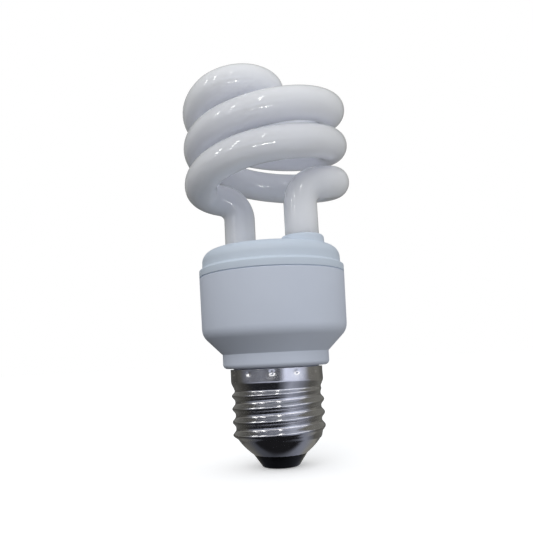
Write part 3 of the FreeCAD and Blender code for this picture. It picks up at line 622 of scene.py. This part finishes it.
def by_bearing(tree, stops):
    """A tinted grey that changes with the bearing right of the camera, from stops of (bearing, level)."""
    x, y, z = add(tree, "ShaderNodeSeparateXYZ", {0: across_view(tree)}).outputs
    back = add(tree, "ShaderNodeMath", {0: y, 1: -1.0}, operation="MULTIPLY").outputs[0]
    angle = add(tree, "ShaderNodeMath", {0: x, 1: back}, operation="ARCTAN2").outputs[0]
    share = add(tree, "ShaderNodeMapRange", {"Value": angle, "From Min": -math.pi, "From Max": math.pi})
    ramp = add(tree, "ShaderNodeValToRGB", {"Fac": share.outputs[0]})
    marks = ramp.color_ramp.elements
    for bearing, level in stops[1:-1]:
        tint = COOL_TINT if abs(bearing) < FRONT_HALF else WARM_TINT
        marks.new((bearing + 180) / 360).color = (*(level * part for part in tint), 1)
    for mark, (bearing, level) in ((marks[0], stops[0]), (marks[-1], stops[-1])):
        mark.color = (*(level * part for part in BACK_TINT), 1)
    return ramp.outputs[0], z


def blend(tree, share, first, second):
    """A colour between two colours, each a value or a socket."""
    return add(tree, "ShaderNodeMix", {0: share, 6: first, 7: second}, data_type="RGBA").outputs[2]


def toward(bearing, rise, away):
    """The point at a bearing right of the camera, a rise above the horizon and a distance, in metres."""
    b, r = math.radians(bearing), math.radians(rise)
    return facing @ Vector((math.sin(b) * math.cos(r), -math.cos(b) * math.cos(r), math.sin(r))) * away


SPIRAL_MIDDLE = up * 0.09


def strip(name, bearing, rise, away, wide, tall, strength, seen_in):
    """A lamp at a bearing, rise and distance, so many degrees wide and tall, seen in a set of pieces."""
    corners = ((-1, -1), (1, -1), (1, 1), (-1, 1))
    mesh = bpy.data.meshes.new(name)
    mesh.from_pydata([toward(bearing + a * wide / 2, rise + b * tall / 2, away) + SPIRAL_MIDDLE
                      for a, b in corners], [], [(0, 1, 2, 3)])
    lamp = bpy.data.objects.new(name, mesh)
    bpy.context.collection.objects.link(lamp)
    mirrored(lamp, glowing(name, strength)[0])
    lamp.light_linking.receiver_collection = seen_in


ROOM_RADIUS = 900
MAT_RADIUS = 260
WALLS = [(-180, 0.12), (-120, 0.06), (-98, 0.09), (-78, 0.16), (-54, 0.13), (-37, 0.18), (-22, 0.13),
         (-8, 0.05), (4, 0.05), (12, 0.4), (20, 1.0), (45, 0.9), (66, 0.58), (84, 0.18), (111, 0.18),
         (146, 0.12), (180, 0.12)]
PICTURE_RAIL = [(-180, 0.18), (-110, 0.2), (-85, 0.35), (-60, 1.1), (0, 1.4), (40, 1.2), (75, 0.6),
                (100, 0.22), (180, 0.18)]
CEILING = [(-180, 0.2), (-105, 0.08), (-75, 0.16), (0, 0.22), (20, 0.4), (65, 0.46), (85, 0.16), (180, 0.2)]
RAIL_FROM = (0.09, 0.18)
CEILING_FROM = (0.2, 0.38)
paint, tree, light = glowing("grey_room", 1.0)
paint.cycles.emission_sampling = "NONE"
wall, height = by_bearing(tree, WALLS)
rail = by_bearing(tree, PICTURE_RAIL)[0]
ceiling = by_bearing(tree, CEILING)[0]
shade = blend(tree, fade(tree, height, *RAIL_FROM), wall, rail)
shade = blend(tree, fade(tree, height, *CEILING_FROM), shade, ceiling)
tree.links.new(shade, light.inputs["Color"])
mirrored(turned("room", [(MAT_RADIUS, 0.4, 0), (ROOM_RADIUS, 60, 100), (ROOM_RADIUS, ROOM_RADIUS, 800),
                         (0, ROOM_RADIUS, 0)], closed=False, around=96), paint)
FAR_MAT = [(-180, 0.2), (-105, 0.07), (-85, 0.05), (-65, 0.02), (0, 0.015), (14, 0.14), (30, 0.42),
           (60, 0.24), (88, 0.1), (180, 0.2)]
LIT_RING = [(-180, 0.1), (-88, 0.07), (-62, 0.3), (-35, 0.6), (0, 0.75), (40, 0.85), (68, 0.5), (88, 0.2),
            (180, 0.12)]
POOL_RIM = [(-180, 0.2), (-95, 0.14), (-60, 0.08), (-20, 0.06), (20, 0.14), (60, 0.26), (95, 0.26),
            (180, 0.2)]
# The pool is painted shadow: the table's shade just in front of the lamp's foot, where the lamp shades it.
POOL_SHADOW = (0.012, 0.012, 0.014, 1)
POOL_WIDTH = 17
POOL_DEPTH = 5.5
POOL_AHEAD = 12.5
POOL_ASIDE = 0.19
RIM_FROM = (0.75, 1.2)
NEAR_WITHIN = (0.02, 0.016)
RING_FROM = (0.06, 0.085)
WALL_FROM = (0.16, 0.25)
paint, tree, light = glowing("table_mat", 1.0)
paint.cycles.emission_sampling = "NONE"
spot = add(tree, "ShaderNodeTexCoord").outputs["Object"]
reach = add(tree, "ShaderNodeVectorMath", {0: spot}, operation="LENGTH").outputs["Value"]
# A painted shadow: a dark oval on the mat just in front of the lamp's foot, inside a rim of greys by
# bearing.
pool = add(tree, "ShaderNodeMapping", {
    "Vector": across_view(tree), "Location": (POOL_ASIDE, POOL_AHEAD / POOL_DEPTH, 0),
    "Scale": (1 / (POOL_WIDTH * MM), 1 / (POOL_DEPTH * MM), 0)}).outputs[0]
pool = add(tree, "ShaderNodeVectorMath", {0: pool}, operation="LENGTH").outputs["Value"]
near = blend(tree, fade(tree, pool, *RIM_FROM), POOL_SHADOW, by_bearing(tree, POOL_RIM)[0])
shade = blend(tree, fade(tree, reach, *NEAR_WITHIN), by_bearing(tree, FAR_MAT)[0], near)
shade = blend(tree, fade(tree, reach, *RING_FROM), shade, by_bearing(tree, LIT_RING)[0])
shade = blend(tree, fade(tree, reach, *WALL_FROM), shade, by_bearing(tree, WALLS)[0])
tree.links.new(shade, light.inputs["Color"])
mirrored(turned("mat", [(0, 0.3, 0), (MAT_RADIUS, 0.3, 0)], closed=False, around=96), paint)
in_cap = bpy.data.collections.new("seen_in_cap")
in_cap.objects.link(shell)
in_tube = bpy.data.collections.new("seen_in_tube")
in_tube.objects.link(tube)
off_cap = bpy.data.collections.new("not_in_cap")
off_cap.objects.link(shell)
off_cap.collection_objects[0].light_linking.link_state = "EXCLUDE"
strip("ceiling_lamp_left", -67, 24, 0.8, 4, 22, 9, off_cap)
strip("ceiling_lamp_middle", -44, 32, 0.8, 4, 22, 9, off_cap)
strip("ceiling_lamp_right", -5, 41, 0.8, 4, 24, 9, off_cap)
strip("cap_lamp_left", -71.5, 20, 0.8, 5, 30, 4, in_cap)
strip("cap_lamp_middle", -48.5, 26, 0.8, 5, 34, 4, in_cap)
strip("cap_lamp_right", -0.5, 34, 0.8, 5, 40, 4, in_cap)
for pane, bearing in enumerate((-62, -37, -12, 13, 38, 63)):
    strip("cap_pane_%d" % pane, bearing, -1.9, 0.3, 25, 7.6, 1.7, in_cap)
strip("door_slit", -43.5, 13.5, 0.8, 2.5, 14, 8, in_tube)
strip("low_strip", 8.5, -13.5, 0.16, 17, 3.2, 24, in_tube)
strip("low_lamp", -8, -13.5, 0.16, 5, 3.4, 22, in_tube)

# Light
# Soft light from all round above, with a key lamp a little to the left of the camera, and next to none from
# below. The camera sees the open background as white.
world = bpy.data.worlds.new("studio")
world.use_nodes = True
bpy.context.scene.world = world
bpy.context.scene.view_settings.view_transform = "Standard"
tree = world.node_tree
tree.nodes.clear()
looked = looked_at(tree)
sky = add(tree, "ShaderNodeSeparateXYZ", {0: add(tree, "ShaderNodeTexCoord").outputs["Generated"]})
above = add(tree, "ShaderNodeMapRange", {"Value": sky.outputs[2], "From Min": -0.1, "From Max": 0.9,
                                         "To Min": 0.68, "To Max": 0.9}).outputs[0]
dome = add(tree, "ShaderNodeBackground", {"Color": (0.97, 0.985, 1.0, 1), "Strength": above})
white = add(tree, "ShaderNodeBackground", {"Color": (1, 1, 1, 1), "Strength": 1.0})
both = add(tree, "ShaderNodeMixShader", {0: looked, 1: dome.outputs[0], 2: white.outputs[0]})
add(tree, "ShaderNodeOutputWorld", {"Surface": both.outputs[0]})
KEY_AIM = up * 0.07
key_lamp = bpy.data.objects.new("key_lamp", bpy.data.lights.new("key_lamp", "AREA"))
key_lamp.data.size = 1.8
key_lamp.data.energy = 15.5
key_lamp.visible_glossy = False
spot = toward(-15, 31, 2.5)
turn = spot.to_track_quat("Z", "Y").to_matrix().to_4x4()
key_lamp.matrix_world = Matrix.Translation(spot + KEY_AIM) @ turn
bpy.context.collection.objects.link(key_lamp)
